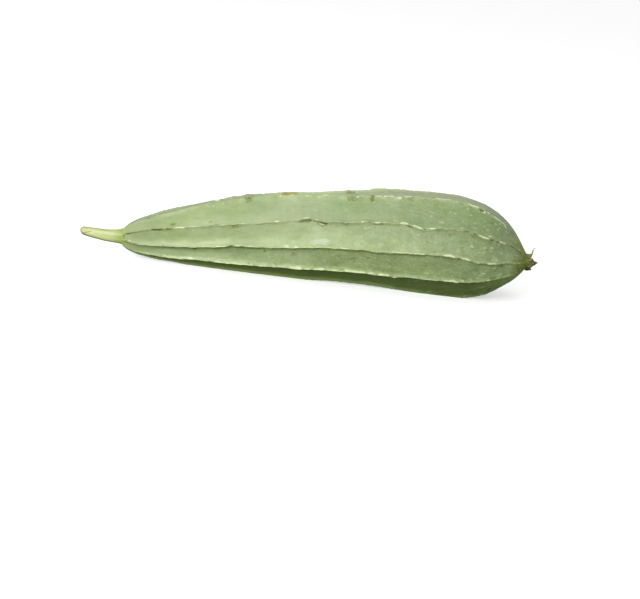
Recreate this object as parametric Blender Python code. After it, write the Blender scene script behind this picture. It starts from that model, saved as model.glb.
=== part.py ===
"""A ridged sponge gourd, as picked, lying on two of its ten ridges.

Units are metres, +Z is up. The gourd lies along X, with its stem at -X and its
blossom end at +X, and the origin is under its middle on the surface it rests on.
It is three pieces: the fruit, the stem it hung from, and the withered blossom.
"""

import math

import bmesh
import bpy
import numpy as np
from mathutils import Matrix, Vector

MM = 0.001

# The fruit, along its own axis from the neck to the blossom end
FRUIT_LENGTH = 279 * MM
CREST_RADIUS = [  # station, radius over the ridges
    (0, 5.9), (3, 8.4), (8, 11.2), (16, 13.9), (30, 17.4), (60, 23.8), (100, 28.9),
    (150, 31.9), (195, 35.2), (222, 35.7), (240, 34.2), (254, 29.5), (264, 22.9),
    (270, 17.5), (275, 11.2), (279, 5.2),
]
ARCH = [  # station, height of the centre above the straight line between the ends
    (0, 0.0), (30, 3.0), (80, 7.0), (130, 8.8), (180, 9.9), (220, 8.2), (250, 6.4),
    (265, 4.8), (279, 0.3),
]
SIDE_BOW = 2.2 * MM

# The ridges: a thin rib on each edge between two slightly hollow panels
RIDGES = 10
RIB_HEIGHT = [(0, 0.15), (10, 0.6), (40, 1.15), (200, 1.2), (250, 0.9), (268, 0.5), (279, 0.1)]
PANEL_HOLLOW = [  # how far the panels lie below a flat face, or above it where negative
    (0, 0.0), (10, 0.3), (50, 1.0), (110, 0.9), (180, 0.4), (220, 0.3), (255, -0.1), (279, 0.0),
]
RIB_WIDTH = 0.06  # half width, as a share of the way to the next ridge
RIB_UNEVENNESS = 0.25
DRIFT_STATIONS = (0, 12, 30, 55, 80, 105, 130, 155, 180, 205, 230, 255, 279)
RIDGE_DRIFT = (  # how many degrees each ridge strays from an even spacing, by station
    (0, -3, -3, -1, 1, 2, 2, 2, 1, 0, 0, 1, 0),
    (-12, -15, -13, -5, -2, 0, 1, 1, 2.5, 5, 5.5, 4.5, -1),
    (-8, -14, -14, -9.5, -6, -5, -2.5, -2, -2, 0.5, 1, -5, -4),
    (-7, -8.5, -9, -10, -9, -6, -1, -5, -4.5, -6, -4.5, -8.5, -4),
    (0, 2, 3, 5, 7.5, 5.5, 3.5, 1, -0.5, 2, 0.5, -7, -14),
    (0, 0, 2, 4, 7, 8, 9, 7, 6, 7, 8, 5, 0),
    (0, 1, 2, 1, -1, -2, -1, 1, 2, 1, -1, -2, 0),
    (0, 2, 3, 2, 0, -1, 1, 2, 0, -2, -1, 1, 0),
    (0, -1, 1, 3, 2, 0, -2, -1, 1, 2, 2, 0, 0),
    (0, -2, -3, -1, 0, 1, 0, -1, 0, 1, 0, -1, 0),
)
RIDGE_WANDER = math.radians(0.5)
CREST_WAVE = 0.28 * MM
SWELLING = 0.25 * MM
GROWTH_SEED = 7

# How it lies: the two stations that carry it, and how far the ribs there are pressed flat
REST_STATIONS = (60 * MM, 232 * MM)
PRESSED = (0.45 * MM, 0.05 * MM)
NECK_X = -129.0 * MM
NECK_Y = -1.4 * MM

# The stem, from the neck outwards
JOINT_GAP = 0.3 * MM
STEM_LENGTH = 29 * MM
STEM_RADIUS = [(0, 5.6), (3, 5.0), (8, 4.5), (15, 4.0), (22, 3.5), (26, 3.1), (29, 2.5)]
STEM_RISE = 3.0 * MM
STEM_SWAY = 1.2 * MM
STEM_RIBS = 5
STEM_GROOVE = 0.07
CUT_SLANT = math.radians(12)

# The withered blossom on the tip
BLOSSOM_DROOP = math.radians(20)
CUP_RADIUS = 4.9 * MM
CUP_PROFILE = ((0.0, 0.98), (1.5, 0.98), (3.0, 0.76), (4.0, 0.5))  # mm ahead, share of radius
SEPAL_SPREADS = (14, 34, 74, 28, 16)  # degrees away from straight ahead, one for each sepal
SEPAL_LENGTH = 4.8 * MM
SEPAL_WIDTH = 2.3 * MM
SEPAL_THICKNESS = 0.6 * MM
STYLE_LENGTH = 7.4 * MM
STYLE_RADIUS = 1.9 * MM
THREAD_LEANS = (0.12, -0.45, 0.7)
THREAD_LENGTH = 7.5 * MM
THREAD_RADIUS = 0.36 * MM
BLOSSOM_SEED = 23

# Mesh counts
FRUIT_RINGS = 58
RIDGE_COLUMNS = (0.0, 0.045, 0.13, 0.29, 0.5, 0.71, 0.87, 0.955)  # from one crest to the next
STEM_RINGS = 12
STEM_SIDES = 20


def clear_scene():
    for obj in list(bpy.data.objects):
        bpy.data.objects.remove(obj, do_unlink=True)


def follow(along, values, station, row=0):
    """A smooth curve through the values at the places along it, read at station. The
    values may have several rows, one for each curve."""
    values = np.atleast_2d(values)
    slope = np.gradient(values, along, axis=1)
    i = np.clip(np.searchsorted(along, station) - 1, 0, len(along) - 2)
    step = along[i + 1] - along[i]
    t = (station - along[i]) / step
    return (
        (2 * t**3 - 3 * t**2 + 1) * values[row, i]
        + (t**3 - 2 * t**2 + t) * step * slope[row, i]
        + (3 * t**2 - 2 * t**3) * values[row, i + 1]
        + (t**3 - t**2) * step * slope[row, i + 1]
    )


def curve_through(points_mm, station):
    along, values = np.array(points_mm, float).T * MM
    return follow(along, values, station)


def ridge_angle(sector, station):
    """The angle of a ridge round the fruit, from straight down towards -Y."""
    wander = growth_waves(RIDGES, (0.160, 0.062), GROWTH_SEED)
    drift = follow(np.array(DRIFT_STATIONS) * MM, np.radians(RIDGE_DRIFT), station, sector % RIDGES)
    even = 2 * math.pi / RIDGES * (sector + 0.5)
    return even + drift + RIDGE_WANDER * ends_settle(station) * wander(sector % RIDGES, station)


def ends_settle(station):
    """Falls from 1 to 0 over the last stretch at either end, where waves die away."""
    return np.clip(np.minimum(station, FRUIT_LENGTH - station) / (25 * MM), 0, 1)


def growth_waves(count, wavelengths, seed):
    """One smooth random wave for each ridge, between about -1 and 1."""
    rng = np.random.default_rng(seed)
    phase = rng.uniform(0, 2 * math.pi, (count, len(wavelengths)))
    stretch = rng.uniform(0.85, 1.15, (count, len(wavelengths)))

    def wave(ridge, station):
        total = 0
        for n, length in enumerate(wavelengths):
            total = total + np.sin(
                2 * math.pi * station / (length * stretch[ridge, n]) + phase[ridge, n]
            )
        return total / len(wavelengths)

    return wave


def fruit_surface(station, sector, share):
    """Points on the skin. sector is the ridge that a point follows, and share how far
    round it lies from that ridge, at 0, to the next one, at 1. Arrays broadcast."""
    unevenness = growth_waves(RIDGES, (0.090, 0.037), GROWTH_SEED + 1)
    crest_wave = growth_waves(RIDGES, (0.041, 0.024), GROWTH_SEED + 2)
    settle = ends_settle(station)
    here = ridge_angle(sector, station)
    gap = ridge_angle(sector + 1, station) - here
    angle = here + share * gap

    off_crest = np.minimum(share, 1 - share)
    nearest = np.where(share < 0.5, sector, (sector + 1) % RIDGES)
    crest = curve_through(CREST_RADIUS, station)
    flat_panel = crest * (1 - np.cos(gap / 2))
    drop = flat_panel + curve_through(PANEL_HOLLOW, station)
    rib = curve_through(RIB_HEIGHT, station) * (
        1 + RIB_UNEVENNESS * unevenness(nearest, station)
    )
    rib_shape = np.exp(-((off_crest / RIB_WIDTH) ** 2))
    swelling = SWELLING * settle * (
        np.sin(station / (17 * MM) + 2 * angle) + np.sin(station / (29 * MM) - 3 * angle)
    )
    radius = (
        crest
        - drop * (1 - (1 - 2 * off_crest) ** 2)
        - rib * (1 - rib_shape)
        + CREST_WAVE * settle * crest_wave(nearest, station) * rib_shape
        + swelling
    )
    bow = SIDE_BOW * np.sin(math.pi * station / FRUIT_LENGTH)
    return np.stack(
        np.broadcast_arrays(
            station,
            bow - radius * np.sin(angle),
            curve_through(ARCH, station) - radius * np.cos(angle),
        ),
        axis=-1,
    )


def lying_down():
    """The matrix that lays the gourd's own axis system down on the surface."""
    inset = math.cos(math.pi / RIDGES)
    touching = [
        float(curve_through(ARCH, s) - curve_through(CREST_RADIUS, s) * inset) + pressed
        for s, pressed in zip(REST_STATIONS, PRESSED)
    ]
    tilt = math.atan2(touching[0] - touching[1], REST_STATIONS[1] - REST_STATIONS[0])
    height = REST_STATIONS[0] * math.sin(tilt) + touching[0] * math.cos(tilt)
    return Matrix.Translation((NECK_X, NECK_Y, -height)) @ Matrix.Rotation(-tilt, 4, "Y")


def paint(obj, name, colour, roughness):
    material = bpy.data.materials.new(name)
    material.use_nodes = True
    shader = material.node_tree.nodes["Principled BSDF"]
    shader.inputs["Base Color"].default_value = (*colour, 1)
    shader.inputs["Roughness"].default_value = roughness
    shader.inputs["Metallic"].default_value = 0
    obj.data.materials.clear()
    obj.data.materials.append(material)


def loft(name, rings, collection):
    """A closed solid through rings of points, with a flat face on each end."""
    bm = bmesh.new()
    loops = [[bm.verts.new(point) for point in ring] for ring in rings]
    for lower, upper in zip(loops, loops[1:]):
        for i in range(len(lower)):
            j = (i + 1) % len(lower)
            bm.faces.new((lower[i], lower[j], upper[j], upper[i]))
    bm.faces.new(reversed(loops[0]))
    bm.faces.new(loops[-1])
    bmesh.ops.recalc_face_normals(bm, faces=bm.faces)
    mesh = bpy.data.meshes.new(name)
    bm.to_mesh(mesh)
    bm.free()
    obj = bpy.data.objects.new(name, mesh)
    collection.objects.link(obj)
    return obj


def sweep(name, path, outline, collection, side=(0, 1, 0), end_slant=0.0):
    """A loft along a path. outline(n, angle) gives each ring's radii, to the side and up."""
    angle = np.linspace(0, 2 * math.pi, outline.sides, endpoint=False)
    tangent = np.gradient(path, axis=0)
    rings = []
    for n, (point, along) in enumerate(zip(path, tangent)):
        along = Vector(along).normalized()
        across = (Vector(side) - along * along.dot(Vector(side))).normalized()
        up = across.cross(along)
        wide, tall = outline(n, angle)
        slant = math.tan(end_slant) if n == len(path) - 1 else 0.0
        rings.append([
            Vector(point) + across * w * math.cos(a)
            + (up + along * slant) * t * math.sin(a)
            for a, w, t in zip(angle, wide, tall)
        ])
    return loft(name, rings, collection)


def make_fruit(collection):
    """A loft through ridged sections, closer together towards both ends."""
    t = np.linspace(0, 1, FRUIT_RINGS)
    station = FRUIT_LENGTH * (t - 0.6 * np.sin(2 * math.pi * t) / (2 * math.pi))
    sector = np.repeat(np.arange(RIDGES), len(RIDGE_COLUMNS))
    share = np.tile(RIDGE_COLUMNS, RIDGES)
    surface = fruit_surface(station[:, None], sector[None, :], share[None, :])
    fruit = loft("fruit", surface, collection)
    lie = lying_down()
    for vertex in fruit.data.vertices:
        vertex.co = lie @ vertex.co
        vertex.co.z = max(vertex.co.z, 0.0)
    fruit.data.shade_smooth()
    paint(fruit, "green_skin", (0.36, 0.45, 0.22), 0.5)
    return fruit


def make_stem(collection):
    """A stalk with five soft ribs, which bends up a little to its slanting cut."""
    along = np.linspace(0, STEM_LENGTH, STEM_RINGS)
    bend = (along / STEM_LENGTH) ** 2
    path = np.stack([-JOINT_GAP - along, STEM_SWAY * bend, STEM_RISE * bend], axis=-1)

    def outline(n, angle):
        groove = 1 - STEM_GROOVE * (1 - np.cos(STEM_RIBS * angle)) / 2
        radius = curve_through(STEM_RADIUS, along[n]) * groove
        return radius, radius

    outline.sides = STEM_SIDES
    stem = sweep("stem", path, outline, collection, end_slant=CUT_SLANT)
    stem.data.transform(lying_down())
    stem.data.shade_smooth()
    paint(stem, "pale_stem", (0.62, 0.66, 0.30), 0.5)
    return stem


def withered_horn(name, collection, root, heading, side, length, wide, thick, curl, sides):
    """A tapering, curling sliver of dry tissue that starts at root, wide towards its side."""
    heading = Vector(heading).normalized()
    t = np.linspace(0, 1, 6)
    path = [
        Vector(root) + heading * length * x + Vector(curl) * length * x**2 for x in t
    ]
    taper = 1 - 0.75 * t**2

    def outline(n, angle):
        return (np.full(sides, wide * taper[n]), np.full(sides, thick * taper[n]))

    outline.sides = sides
    return sweep(name, np.array(path), outline, collection, side)


def make_dried_blossom(collection, scraps):
    """The shrivelled cup of the flower, with its sepals, its style and dry threads."""
    rng = np.random.default_rng(BLOSSOM_SEED)
    ahead = Vector((1, 0, 0))
    tip = Vector((FRUIT_LENGTH + JOINT_GAP, 0, float(curve_through(ARCH, FRUIT_LENGTH))))
    forward = Matrix.Rotation(BLOSSOM_DROOP, 3, "Y") @ ahead
    reach, girth = np.array(CUP_PROFILE).T
    reach = reach * MM
    girth = girth * CUP_RADIUS
    pucker = rng.uniform(0.9, 1.06, (len(reach), 15))

    def outline(n, angle):
        return girth[n] * pucker[n], girth[n] * pucker[n]

    outline.sides = pucker.shape[1]
    path = [tip, tip + ahead * reach[1]]
    path += [path[1] + forward * (x - reach[1]) for x in reach[2:]]
    cup = sweep("dried_blossom", np.array(path), outline, collection)

    middle = path[1]
    for n, spread in enumerate(SEPAL_SPREADS):
        turn = 2 * math.pi * (n + rng.uniform(-0.15, 0.15)) / len(SEPAL_SPREADS)
        outward = Vector((0, math.sin(turn), math.cos(turn)))
        spread = math.radians(spread)
        withered_horn(
            f"sepal_{n}", scraps,
            middle + outward * 0.5 * CUP_RADIUS,
            forward * math.cos(spread) + outward * math.sin(spread),
            outward.cross(forward),
            SEPAL_LENGTH * rng.uniform(0.8, 1.1),
            SEPAL_WIDTH, SEPAL_THICKNESS * rng.uniform(0.9, 1.3),
            rng.uniform(-0.3, 0.3, 3), 8,
        )
    withered_horn(
        "style", scraps, middle, forward, (0, 1, 0), STYLE_LENGTH,
        STYLE_RADIUS, STYLE_RADIUS, (0, 0.05, -0.1), 9,
    )
    for n, lean in enumerate(THREAD_LEANS):
        withered_horn(
            f"thread_{n}", scraps,
            middle + Vector((0, lean, 1)) * 0.5 * CUP_RADIUS,
            (0.62, lean, 1.0), (0, 1, 0), THREAD_LENGTH * (1 - 0.18 * n),
            THREAD_RADIUS, THREAD_RADIUS, (0.25 - 0.2 * n, lean, -0.1), 6,
        )

    join = cup.modifiers.new("Join", "BOOLEAN")
    join.operation = "UNION"
    join.operand_type = "COLLECTION"
    join.collection = scraps
    bpy.context.view_layer.update()
    joined = bpy.data.meshes.new_from_object(
        cup.evaluated_get(bpy.context.evaluated_depsgraph_get())
    )
    cup.modifiers.clear()
    cup.data = joined
    for scrap in list(scraps.objects):
        bpy.data.objects.remove(scrap, do_unlink=True)
    cup.data.transform(lying_down())
    paint(cup, "dry_tissue", (0.22, 0.16, 0.08), 0.85)
    return cup


def main():
    clear_scene()
    gourd = bpy.data.collections.new("ridged_sponge_gourd")
    scraps = bpy.data.collections.new("blossom_scraps")
    for collection in (gourd, scraps):
        bpy.context.scene.collection.children.link(collection)
    stand = bpy.data.objects.new("resting_place", None)
    gourd.objects.link(stand)
    for piece in (make_fruit(gourd), make_stem(gourd), make_dried_blossom(gourd, scraps)):
        piece.parent = stand


main()
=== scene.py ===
import math
from types import SimpleNamespace

import bpy
import numpy as np
from mathutils import Matrix


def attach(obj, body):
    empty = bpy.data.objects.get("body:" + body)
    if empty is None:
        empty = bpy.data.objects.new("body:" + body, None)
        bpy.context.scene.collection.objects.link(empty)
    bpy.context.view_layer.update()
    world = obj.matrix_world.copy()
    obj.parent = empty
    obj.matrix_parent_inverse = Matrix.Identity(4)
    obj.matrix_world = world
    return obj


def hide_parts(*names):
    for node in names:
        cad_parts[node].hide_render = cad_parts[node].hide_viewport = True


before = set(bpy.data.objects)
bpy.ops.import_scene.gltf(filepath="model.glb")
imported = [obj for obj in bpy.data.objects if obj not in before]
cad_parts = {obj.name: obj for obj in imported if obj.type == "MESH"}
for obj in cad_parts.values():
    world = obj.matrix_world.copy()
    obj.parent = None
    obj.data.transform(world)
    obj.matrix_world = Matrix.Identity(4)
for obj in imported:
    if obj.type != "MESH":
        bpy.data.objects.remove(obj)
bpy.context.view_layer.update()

MM = 0.001
TURN = 2 * math.pi

# The fruit's form, with the same names and values as the part's own source
FRUIT_LENGTH = 279 * MM
CREST_RADIUS = [
    (0, 5.9), (3, 8.4), (8, 11.2), (16, 13.9), (30, 17.4), (60, 23.8), (100, 28.9),
    (150, 31.9), (195, 35.2), (222, 35.7), (240, 34.2), (254, 29.5), (264, 22.9),
    (270, 17.5), (275, 11.2), (279, 5.2),
]
ARCH = [
    (0, 0.0), (30, 3.0), (80, 7.0), (130, 8.8), (180, 9.9), (220, 8.2), (250, 6.4),
    (265, 4.8), (279, 0.3),
]
SIDE_BOW = 2.2 * MM
RIDGES = 10
RIB_HEIGHT = [(0, 0.15), (10, 0.6), (40, 1.15), (200, 1.2), (250, 0.9), (268, 0.5), (279, 0.1)]
PANEL_HOLLOW = [
    (0, 0.0), (10, 0.3), (50, 1.0), (110, 0.9), (180, 0.4), (220, 0.3), (255, -0.1), (279, 0.0),
]
RIB_WIDTH = 0.06
RIB_UNEVENNESS = 0.25
DRIFT_STATIONS = (0, 12, 30, 55, 80, 105, 130, 155, 180, 205, 230, 255, 279)
RIDGE_DRIFT = (
    (0, -3, -3, -1, 1, 2, 2, 2, 1, 0, 0, 1, 0),
    (-12, -15, -13, -5, -2, 0, 1, 1, 2.5, 5, 5.5, 4.5, -1),
    (-8, -14, -14, -9.5, -6, -5, -2.5, -2, -2, 0.5, 1, -5, -4),
    (-7, -8.5, -9, -10, -9, -6, -1, -5, -4.5, -6, -4.5, -8.5, -4),
    (0, 2, 3, 5, 7.5, 5.5, 3.5, 1, -0.5, 2, 0.5, -7, -14),
    (0, 0, 2, 4, 7, 8, 9, 7, 6, 7, 8, 5, 0),
    (0, 1, 2, 1, -1, -2, -1, 1, 2, 1, -1, -2, 0),
    (0, 2, 3, 2, 0, -1, 1, 2, 0, -2, -1, 1, 0),
    (0, -1, 1, 3, 2, 0, -2, -1, 1, 2, 2, 0, 0),
    (0, -2, -3, -1, 0, 1, 0, -1, 0, 1, 0, -1, 0),
)
RIDGE_WANDER = math.radians(0.5)
CREST_WAVE = 0.28 * MM
SWELLING = 0.25 * MM
GROWTH_SEED = 7
REST_STATIONS = (60 * MM, 232 * MM)
PRESSED = (0.45 * MM, 0.05 * MM)
NECK_X = -129.0 * MM
NECK_Y = -1.4 * MM
STEM_LENGTH = 29 * MM
STEM_RADIUS = [(0, 5.6), (3, 5.0), (8, 4.5), (15, 4.0), (22, 3.5), (26, 3.1), (29, 2.5)]
STEM_RISE = 3.0 * MM
STEM_SWAY = 1.2 * MM
STEM_RIBS = 5

# Ridges are numbered upwards from the lowest in view, 0 to 4, and on round the back, 5 to 9.
# A station is a distance from the stem's end of the fruit.

# Small steps in the line of a crest: ridge, station, how far up it steps and how wide, in mm
KINKS = (
    (1, 60, -0.4, 5), (1, 188.5, -1.2, 2.6), (2, 52, -0.5, 4), (2, 77, 0.6, 3.5), (2, 168, 0.4, 4),
    (2, 243, -0.5, 5), (3, 20, 0.5, 5), (3, 65, 0.7, 3.5), (3, 128.8, 1, 4.2), (3, 140, -1.4, 4.5),
    (3, 153, -0.7, 3.5), (3, 176, -0.6, 3), (3, 192, 1, 4.5), (3, 207, -1.2, 5), (4, 84, -0.8, 4),
    (4, 157, -0.8, 5), (4, 189, -1.2, 2.6),
)
# Small lumps that lift a crest: ridge, station, height and half width, in mm
LIFTS = (
    (2, 103, 0.3, 3), (3, 196, 0.3, 3), (4, 84.5, 0.4, 3.5), (5, 74, 0.6, 4), (5, 84.5, 1, 4),
    (5, 91, 0.6, 3.5), (5, 153, 0.4, 4), (5, 174, 1.1, 6),
)
# The second ridge from the top is lower than the others, lowest along this stretch, in mm
LOW_RIDGE = 3
LOW_RIDGE_SHARE = 0.75
LOW_STRETCH = (22, 50, 118, 130)
LOW_STRETCH_LOSS = 0.42
# The share of their height that all ridges lose by the tip, and where they lose it, in mm
TIP_RIDGE_LOSS = 0.45
TIP_LOSS_STATIONS = (236, 262)
# A fine waver, crimps and a pucker in the crests and the tip, in mm
CREST_WAVER = 0.3
BEADING = 0.16
PUCKER = 0.12

# Marks along the crests of the ridges that face the front, as (start, end, boldness, height
# above the crest), lengths in mm: pale strokes of worn skin with a painted highlight on the
# crests, and dark cracks and folds with painted shade under the crests
PALE_STROKES = {
    4: ((40, 50, 0.25, -0.7), (61.5, 63.5, 0.8, -1.8), (68, 69.6, 0.6, -1.3), (107.5, 109, 0.9, -0.6),
        (114, 118, 0.9, -0.1), (124.5, 130.5, 1.1, 0), (135.5, 142, 1, 0), (154, 155.4, 1, 0.2),
        (159.5, 162, 1.2, -0.6), (171.5, 178, 1.7, 0.3), (178, 185.5, 2, 0), (187.5, 191, 1.8, -0.6),
        (192.5, 198, 1.9, 0.1), (198.5, 202, 1.2, 0.4), (213, 225, 1.2, 0), (235.5, 243.5, 2.2, 0),
        (252.5, 263, 1.9, 0)),
    3: ((37, 44.5, 1.8, 0), (47, 52.5, 0.9, 0.7), (69, 72.5, 1, 0), (76, 77.5, 0.8, -0.5),
        (83, 86, 0.9, 0.3), (93.5, 104, 0.6, 0.3), (105.4, 109, 2.4, 0.3), (124.5, 129.6, 1.6, 0.8),
        (133, 135.5, 1.3, 0), (135, 140, 1, -1.6), (163.8, 166.4, 2.4, 0.1), (173, 177, 1.7, 0),
        (179, 180.5, 1.1, 0), (190, 196, 2.7, 0), (198.5, 205.5, 2.5, 0), (209.5, 214.5, 1.8, 0),
        (243.5, 251, 2.8, 0.1), (253, 254.2, 1, 1.8), (257.5, 262.5, 2.3, 0)),
    2: ((5.2, 6.6, 1, 1), (55, 64, 0.6, 0.3), (66, 73.5, 0.9, 0.3), (79.5, 84, 0.9, 0.4),
        (86, 95.5, 0.6, 0.3), (112.7, 116.6, 2.4, 0.6), (119.5, 123, 1.9, 0.3), (124, 150, 0.8, 0.2),
        (151, 158, 1, 0.2), (171.5, 174, 0.9, 0), (186, 200, 0.8, 0.2), (200, 208.5, 1.2, 0),
        (220.5, 228.5, 2.7, 0.3), (232.5, 238.7, 2.3, 0.1), (250.5, 257.5, 1.6, 0.4)),
    1: ((27.5, 44, 0.7, 0.3), (46.5, 51, 1.1, 0.3), (65, 92.5, 1.1, 0.2), (92.5, 94.5, 0.6, 7.6),
        (93, 117, 0.8, 0.2), (117, 126, 2.3, 0.3), (126.5, 132.5, 1.2, 0.2), (133, 141.5, 2.1, 0.3),
        (142, 154, 1.3, 0.2), (154.5, 169.5, 2.1, 0.3), (170, 177, 1.4, 0.2), (177, 185.5, 1.9, 0.3),
        (187.5, 190, 1.2, 0), (191, 205, 0.8, 0.2), (205, 207, 0.5, 3), (208, 219, 0.9, 0.1),
        (221.5, 232.5, 1.6, 0.2), (236, 247, 0.7, 0.2), (243.5, 246.5, 1.3, 2.8), (245, 248, 1, 4.4),
        (246.5, 250.5, 1.7, 6.2), (251, 254, 1.5, 0.2)),
    0: ((100, 112, 0.7, 0), (120, 128, 0.8, 0), (150, 160, 0.8, 0), (203, 237, 1, 0),
        (240, 252, 0.8, 0)),
}
DARK_LINES = {
    4: ((82, 88.5, 0.9, -0.4), (154, 160.5, 0.6, -2.4), (170.2, 172.6, 1.3, -0.2),
        (204, 211, 0.8, -1.4), (229, 234, 0.9, -1.2), (243, 247.5, 1.5, -0.9), (266, 269, 1.4, 0)),
    3: ((1.5, 9, 1, -0.2), (11, 20, 1.1, 0.1), (20.5, 30, 2, -0.1), (30.5, 36.5, 1.7, 0.2),
        (38.5, 43, 0.8, -0.7), (60.5, 63.5, 1.1, 0), (64.5, 68, 1.2, 0.3), (73.5, 82, 1, -0.3),
        (88, 89.2, 1.1, 0), (93.5, 104, 0.6, -0.8), (118.3, 130.2, 1, -0.6), (131.5, 135, 1.1, -0.9),
        (135.5, 142.5, 1.5, -0.7), (149.5, 157, 1.1, -0.4), (167.5, 172, 0.8, -0.4),
        (172, 180, 1.1, -0.9), (193, 199.5, 1.2, -1.1), (205.5, 208.7, 1.4, -0.1),
        (214.5, 220, 0.9, -0.2), (232.5, 237.5, 1.3, 0.1), (238, 243, 1.6, -0.1),
        (251, 254.5, 1.5, -0.1), (255, 258.5, 1.2, -0.2), (265.5, 269.5, 1.4, -0.1),
        (270, 275, 1.5, -0.1)),
    2: ((1, 13, 0.7, -0.1), (13, 31.5, 1.3, -0.5), (32, 39.2, 1.7, -0.3), (39.5, 49, 1, -0.5),
        (49, 54.5, 2.4, -0.9), (54.5, 73.5, 1, -0.9), (74, 79, 1.3, -0.2), (79, 96, 0.8, -0.9),
        (100, 113, 0.5, -0.9), (123, 140, 0.4, -1.2), (150, 171, 0.5, -1), (204, 219, 0.7, -0.8),
        (228, 232, 0.8, -0.4), (257, 262, 0.4, -0.6), (263, 270, 0.6, 0)),
    1: ((0, 27, 1.3, -0.5), (28, 34, 1.2, -0.9), (60, 66, 1, -0.9), (124, 130, 0.9, -1.3),
        (186.5, 191, 1.3, -0.9), (254, 262, 0.5, -0.5)),
    0: ((40, 52, 0.8, -0.6), (90, 99, 0.8, -0.6), (210, 219, 0.8, -0.6)),
}
# For each kind of stroke: the seed of the scattered ones on the other ridges, the strength at
# no boldness, what boldness adds to it, and the most that it can be
STROKE_KINDS = {"pale": (31, 0.26, 0.40, 1.0), "dark": (47, 0.20, 0.36, 0.95)}
# Half width of a stroke, and the last station of a scattered one, in mm
STROKE_HALF_WIDTH = 0.56
LAST_STROKE = 266
# How far the marks stand out from the skin, in mm
RELIEF = {"pale": 0.14, "dark": -0.40, "scar": 0.12}
# The torn flap on the low ridge: where it opens, gapes and ends, in mm, and its shadow
FLAP = (112, 127, 130.6)
FLAP_SHADOW = 0.62
# A fold in the panel below it: its stretch, and the shares of the panel where it starts and that
# it climbs, between two stations
FOLD = (112, 116, 123, 128)
FOLD_START = 0.10
FOLD_CLIMB = 0.22
FOLD_CLIMB_STATIONS = (111, 123)
FOLD_SHADOW = 0.34
# A seam where the stem joins: station, share of the panel, length and height
SEAM = (1.6, 0.55, 1.4, 4.4)
SEAM_SHADOW = 0.5

# Brown and olive scars: ridge, station, height above the crest, length, height, strength
SCARS = (
    (4, 84, 0.2, 3, 1.4, 0.4), (5, 113.5, 0.9, 12, 3.6, 0.95), (5, 224, -0.2, 9, 1.8, 0.6),
    (6, 70, 0.4, 8, 2, 0.7), (6, 186, -0.5, 12, 2.2, 0.8), (7, 128, 0.2, 6, 1.8, 0.7),
    (8, 40, 0, 9, 1.6, 0.6), (8, 212, 0.8, 7, 3, 0.8), (9, 150, 0.2, 8, 1.6, 0.6),
)
# Blotches out on the panels, listed by the ridge below: share of the way up to the next one,
# station, length, height, and how milky (above 0) or olive (below 0) they are
BLOTCHES = {
    9: ((0.5, 120, 5, 2.6, -0.6),),
    8: ((0.45, 180, 4, 3, -0.7),),
    7: ((0.6, 90, 6, 3.6, 0.7),),
    6: ((0.4, 150, 5, 3, -0.7),),
    5: ((0.35, 60, 4, 2.4, -0.6),),
    4: ((0.82, 86, 9, 7, -0.6), (0.88, 155.5, 9, 8, -0.7), (0.42, 155.5, 7, 5, -0.6),
        (0.6, 158.5, 7.5, 7, -0.65), (0.46, 163, 4, 6, 0.7), (0.4, 170.4, 4.2, 6, -1.2),
        (0.5, 210, 5, 3, -0.5)),
    3: ((0.22, 35, 1.8, 1.2, -1), (0.25, 36, 5, 3, -0.9), (0.16, 62, 4, 2.2, -0.6),
        (0.48, 84, 2, 1.6, -0.5), (0.95, 86, 7, 3.4, -0.65), (0.4, 113, 5, 3.6, -0.42),
        (0.62, 124, 5, 3, -0.5), (0.55, 153, 3, 1.2, 0.6), (0.98, 156.5, 11, 5, -0.65),
        (0.04, 170, 7, 2.6, -0.55), (0.95, 170.6, 3.4, 6, -1), (0.72, 186, 8, 1.2, 0.4),
        (0.96, 197, 5, 4, -0.6), (0.8, 214, 5, 9, -0.46), (0.35, 218, 6, 6, -0.36),
        (0.62, 221, 5, 7, -0.42), (0.84, 238, 6, 6, -0.46)),
    2: ((0.15, 6, 2, 1.4, 0.4), (0.78, 16, 2.4, 2, -0.4), (0.96, 46, 4, 2, -0.6),
        (0.42, 72, 2.4, 1.2, -0.5), (0.95, 79, 9, 3.6, -0.75), (0.16, 133.5, 8, 4.6, 0.7),
        (0.92, 136.5, 10, 3.6, -0.75), (0.21, 137, 9, 4.6, 0.8), (0.3, 139.5, 5, 3, 0.6),
        (0.22, 140.5, 7, 5.2, 0.8), (0.6, 171, 1.6, 2.2, -0.6), (0.55, 208, 2.2, 1.6, -0.5),
        (0.66, 212, 14, 8, 0.26), (0.95, 216, 7, 3, -0.6), (0.45, 225, 8, 9, 0.34),
        (0.93, 240, 6, 3, -0.6)),
    1: ((0.93, 51.5, 5, 4, -0.9), (0.92, 76.5, 5, 2.4, -0.7), (0.72, 100, 3, 2.6, -0.8),
        (0.5, 101, 1.6, 5, -0.35), (0.66, 101.4, 1.8, 1.6, 0.9), (0.66, 119, 4, 4.4, -0.5),
        (0.3, 152, 8, 4, -0.42), (0.52, 158, 7, 3, -0.4), (0.75, 166, 6, 4, -0.45),
        (0.6, 180, 5, 3, -0.45), (0.82, 187, 4, 2.6, -0.5), (0.36, 206.5, 3.6, 2.6, -0.6),
        (0.5, 209.5, 3.6, 3, -0.5), (0.8, 226, 7, 4, -0.42), (0.1, 236, 5, 2.4, -0.6),
        (0.5, 243, 3.4, 1.1, 0.6), (0.32, 246, 6, 1.2, 0.9), (0.12, 247, 6, 2.6, 0.55),
        (0.4, 248.5, 3.4, 1.1, 0.8), (0.09, 255, 6, 2.4, -0.7)),
    0: ((0.82, 228, 5, 2.2, 0.6), (0.5, 233, 3, 1.2, 0.4), (0.75, 235, 3.6, 1.4, 0.5),
        (0.92, 243, 8, 3, -0.7), (0.9, 252, 5, 2.2, 0.6)),
}
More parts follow.
